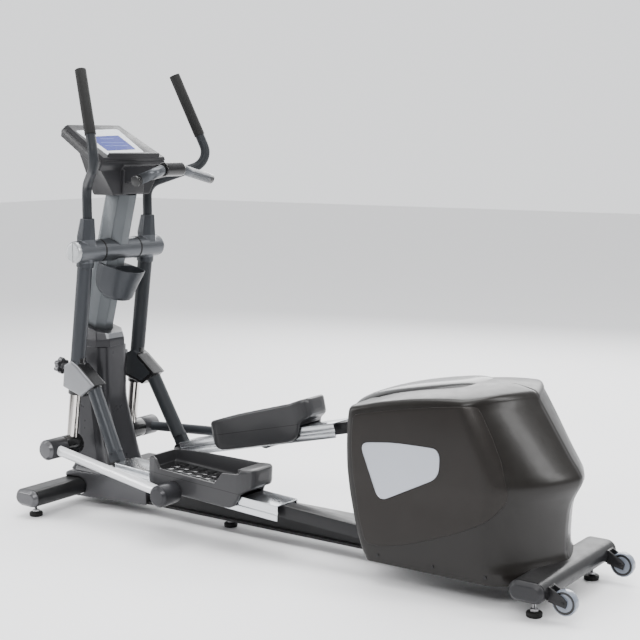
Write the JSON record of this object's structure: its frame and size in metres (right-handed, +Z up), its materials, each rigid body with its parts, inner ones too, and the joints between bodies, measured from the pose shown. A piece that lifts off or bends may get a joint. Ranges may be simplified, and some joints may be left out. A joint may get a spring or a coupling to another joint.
{
  "type": "elliptical trainer",
  "caption": "Floor-standing elliptical trainer with swinging handle arms, pedals that ride on inclined rails, a leaning mast with console, and a rear drive housing on wheels.",
  "frame": {"origin": "on the floor under the middle of the footprint", "axes": "+X from the console to the drive housing, +Y to the user's right when the user faces the console, +Z up"},
  "size_m": [2.132, 0.706, 1.5964],
  "materials": {
    "black_paint": "satin",
    "silver_paint": "satin",
    "grey_paint": "satin",
    "housing_plastic": "semi gloss",
    "black_plastic": "gloss",
    "grey_plastic": "semi gloss",
    "dark_plastic": "matt",
    "foam": "matt",
    "chrome_steel": "polished",
    "rail_aluminium": "satin",
    "badge_aluminium": "satin",
    "bright_steel": "brushed",
    "flywheel_iron": "machined",
    "belt_rubber": "matt",
    "foot_rubber": "matt",
    "wheel_plastic": "satin",
    "display_glass": "gloss",
    "zinc_steel": "plated"
  },
  "bodies": {
    "frame": {"main_beam": "black_paint", "front_stabiliser": "black_paint", "rear_stabiliser": "black_paint", "stabiliser_end_caps": "dark_plastic", "levelling_feet": "foot_rubber", "front_base_cover": "grey_plastic", "mast_column": "silver_paint", "mast_shroud": "dark_plastic", "mast_collar": "dark_plastic", "axle_housing": "silver_paint", "swing_axle": "bright_steel", "cup_holder": "grey_plastic", "console_back": "dark_plastic", "console_face": "dark_plastic", "lcd_window": "display_glass", "pulse_handlebar": "chrome_steel", "housing_left": "housing_plastic", "housing_right": "housing_plastic", "housing_top": "black_plastic", "side_badges": "badge_aluminium", "housing_screws": "zinc_steel", "crank_frame": "black_paint", "crank_bearings": "bright_steel", "drive_belt": "belt_rubber", "magnetic_brake": "bright_steel", "wheel_brackets": "black_paint"},
    "crank": {"crank_axle": "bright_steel", "crank_pulley": "dark_plastic", "crank_arms": "black_paint"},
    "flywheel": {"flywheel": "flywheel_iron"},
    "left_wheel": {"left_wheel": "wheel_plastic"},
    "right_wheel": {"right_wheel": "wheel_plastic"},
    "left_arm": {"left_handle_tube": "grey_paint", "left_foam_grip": "foam", "left_swing_hub": "grey_paint", "left_lower_arm": "grey_paint", "left_bracket_cover": "grey_plastic"},
    "left_knob": {"left_stride_knob": "black_plastic"},
    "left_stride": {"left_stride_tube": "chrome_steel"},
    "left_link_pin": {"left_link_pin": "bright_steel"},
    "left_link": {"left_link_tube": "silver_paint"},
    "left_rail_pin": {"left_rail_pin": "bright_steel"},
    "left_rail": {"left_rail_channel": "rail_aluminium", "left_pedal_arm": "black_paint"},
    "left_pedal": {"left_pedal_base": "dark_plastic", "left_pedal_tray": "dark_plastic"},
    "right_arm": {"right_handle_tube": "grey_paint", "right_foam_grip": "foam", "right_swing_hub": "grey_paint", "right_lower_arm": "grey_paint", "right_bracket_cover": "grey_plastic"},
    "right_knob": {"right_stride_knob": "black_plastic"},
    "right_stride": {"right_stride_tube": "chrome_steel"},
    "right_link_pin": {"right_link_pin": "bright_steel"},
    "right_link": {"right_link_tube": "silver_paint"},
    "right_rail_pin": {"right_rail_pin": "bright_steel"},
    "right_rail": {"right_rail_channel": "rail_aluminium", "right_pedal_arm": "black_paint"},
    "right_pedal": {"right_pedal_base": "dark_plastic", "right_pedal_tray": "dark_plastic"}
  },
  "joints": [
    {"name": "crank_spin", "type": "hinge", "parent": "frame", "child": "crank", "pos_m": [0.58, 0, 0.312], "axis": [0, 1, 0], "continuous": true},
    {"name": "flywheel_spin", "type": "hinge", "parent": "frame", "child": "flywheel", "pos_m": [0.795, 0, 0.236], "axis": [0, 1, 0], "continuous": true},
    {"name": "left_wheel_spin", "type": "hinge", "parent": "frame", "child": "left_wheel", "pos_m": [1.028, -0.207, 0.064], "axis": [0, 1, 0], "continuous": true},
    {"name": "right_wheel_spin", "type": "hinge", "parent": "frame", "child": "right_wheel", "pos_m": [1.028, 0.207, 0.064], "axis": [0, 1, 0], "continuous": true},
    {"name": "left_arm_swing", "type": "hinge", "parent": "frame", "child": "left_arm", "pos_m": [-0.869, -0.157, 0.958], "axis": [0, -1, 0], "range_deg": [-13, 13]},
    {"name": "left_knob_turn", "type": "hinge", "parent": "left_arm", "child": "left_knob", "pos_m": [-1.00723, -0.157, 0.53269], "axis": [-0.991, 0, 0.134], "continuous": true},
    {"name": "left_stride_slide", "type": "slide", "parent": "left_arm", "child": "left_stride", "axis": [0.134, 0, 0.991], "range_m": [0, 0.1]},
    {"name": "left_link_pin_turn", "type": "hinge", "parent": "left_stride", "child": "left_link_pin", "pos_m": [-0.96547, -0.245, 0.24449], "axis": [0, -1, 0], "range_deg": [-8, 8]},
    {"name": "left_link_pitch", "type": "hinge", "parent": "left_link_pin", "child": "left_link", "pos_m": [-0.96547, -0.245, 0.24449], "axis": [0, -1, 0], "range_deg": [-0.5, 9.5]},
    {"name": "left_rail_pin_turn", "type": "hinge", "parent": "left_arm", "child": "left_rail_pin", "pos_m": [-0.708, -0.175, 0.203], "axis": [0, -1, 0], "range_deg": [-14, 14]},
    {"name": "left_rail_pitch", "type": "hinge", "parent": "left_rail_pin", "child": "left_rail", "pos_m": [-0.708, -0.175, 0.203], "axis": [0, -1, 0], "range_deg": [0, 16.2]},
    {"name": "left_pedal_slide", "type": "slide", "parent": "left_rail", "child": "left_pedal", "axis": [0.9984, 0, -0.0569], "range_m": [-0.02, 0.03]},
    {"name": "right_arm_swing", "type": "hinge", "parent": "frame", "child": "right_arm", "pos_m": [-0.869, 0.157, 0.958], "axis": [0, -1, 0], "range_deg": [-13, 13]},
    {"name": "right_knob_turn", "type": "hinge", "parent": "right_arm", "child": "right_knob", "pos_m": [-1.00723, 0.157, 0.53269], "axis": [-0.991, 0, 0.134], "continuous": true},
    {"name": "right_stride_slide", "type": "slide", "parent": "right_arm", "child": "right_stride", "axis": [0.134, 0, 0.991], "range_m": [0, 0.1]},
    {"name": "right_link_pin_turn", "type": "hinge", "parent": "right_stride", "child": "right_link_pin", "pos_m": [-0.96547, 0.245, 0.24449], "axis": [0, -1, 0], "range_deg": [-8, 8]},
    {"name": "right_link_pitch", "type": "hinge", "parent": "right_link_pin", "child": "right_link", "pos_m": [-0.96547, 0.245, 0.24449], "axis": [0, -1, 0], "range_deg": [-9.5, 0.5]},
    {"name": "right_rail_pin_turn", "type": "hinge", "parent": "right_arm", "child": "right_rail_pin", "pos_m": [-0.708, 0.175, 0.203], "axis": [0, -1, 0], "range_deg": [-14, 14]},
    {"name": "right_rail_pitch", "type": "hinge", "parent": "right_rail_pin", "child": "right_rail", "pos_m": [-0.708, 0.175, 0.203], "axis": [0, -1, 0], "range_deg": [-16.2, 0]},
    {"name": "right_pedal_slide", "type": "slide", "parent": "right_rail", "child": "right_pedal", "axis": [0.9746, 0, 0.2239], "range_m": [-0.02, 0.03]}
  ],
  "couplings": [
    {"joint": "flywheel_spin", "follows": "crank_spin", "ratio": 6},
    {"joint": "right_arm_swing", "follows": "left_arm_swing", "ratio": -1},
    {"joint": "left_rail_pin_turn", "follows": "left_arm_swing", "ratio": -1},
    {"joint": "right_rail_pin_turn", "follows": "left_arm_swing", "ratio": 1},
    {"joint": "left_link_pin_turn", "follows": "left_arm_swing", "ratio": -0.564},
    {"joint": "right_link_pin_turn", "follows": "left_arm_swing", "ratio": 0.564},
    {"joint": "right_rail_pitch", "follows": "left_rail_pitch", "ratio": -1},
    {"joint": "left_link_pitch", "follows": "left_rail_pitch", "ratio": 0.562},
    {"joint": "right_link_pitch", "follows": "left_rail_pitch", "ratio": -0.562}
  ]
}
